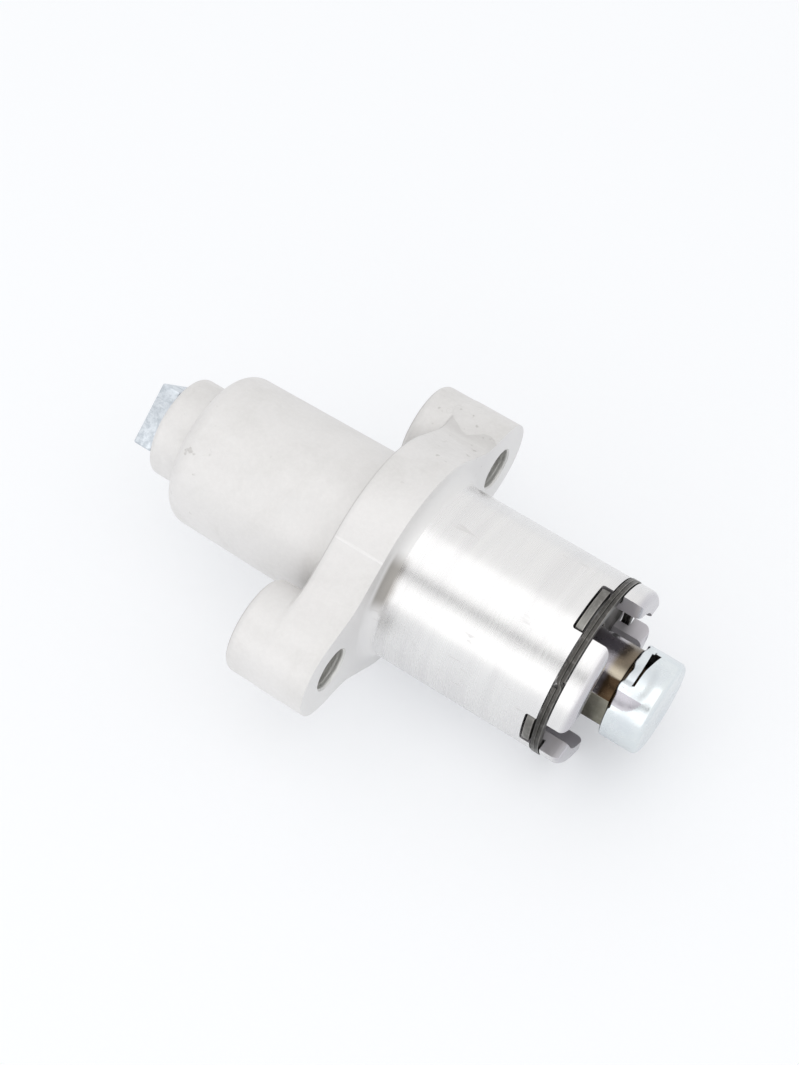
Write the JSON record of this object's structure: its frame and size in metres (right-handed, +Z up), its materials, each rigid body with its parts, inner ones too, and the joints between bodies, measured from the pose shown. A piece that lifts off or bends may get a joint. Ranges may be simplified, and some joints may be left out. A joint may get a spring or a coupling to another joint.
{
  "type": "timing chain tensioner",
  "caption": "Cast housing with a two-ear flange, a castellated front barrel and a spring-driven screw plunger with a crimped cap.",
  "frame": {"origin": "on the plunger's axis, in the plane of the mounting face", "axes": "+X along the plunger towards its cap, +Y from the axis to one mounting ear, +Z up"},
  "size_m": [0.0867, 0.0586, 0.0348],
  "materials": {
    "cast_aluminium": "matt cast, machined in front",
    "dark_plate": "dark ground steel",
    "ring_steel": "dark spring steel",
    "phosphated_steel": "brown phosphate",
    "zinc_plate": "bluish bright zinc",
    "ground_steel": "ground",
    "spring_wire": "drawn wire",
    "soft_aluminium": "stamped"
  },
  "bodies": {
    "housing": {"housing": "cast_aluminium", "guide_plate": "dark_plate", "retaining_ring": "ring_steel", "torsion_spring": "spring_wire", "spacer_tube": "ground_steel", "thrust_seat": "ground_steel", "plug_bolt": "zinc_plate", "sealing_washer": "soft_aluminium"},
    "plunger": {"plunger": "phosphated_steel", "plunger_cap": "zinc_plate"},
    "screw": {"screw_shaft": "ground_steel"}
  },
  "joints": [
    {"name": "plunger_slide", "type": "slide", "parent": "housing", "child": "plunger", "axis": [1, 0, 0], "range_m": [0, 0.015]},
    {"name": "screw_spin", "type": "hinge", "parent": "housing", "child": "screw", "pos_m": [0, 0, 0], "axis": [1, 0, 0], "range_deg": [-540, 0], "deforming": ["torsion_spring"]}
  ],
  "couplings": [
    {"joint": "screw_spin", "follows": "plunger_slide", "rad_per_m": -628.3}
  ]
}
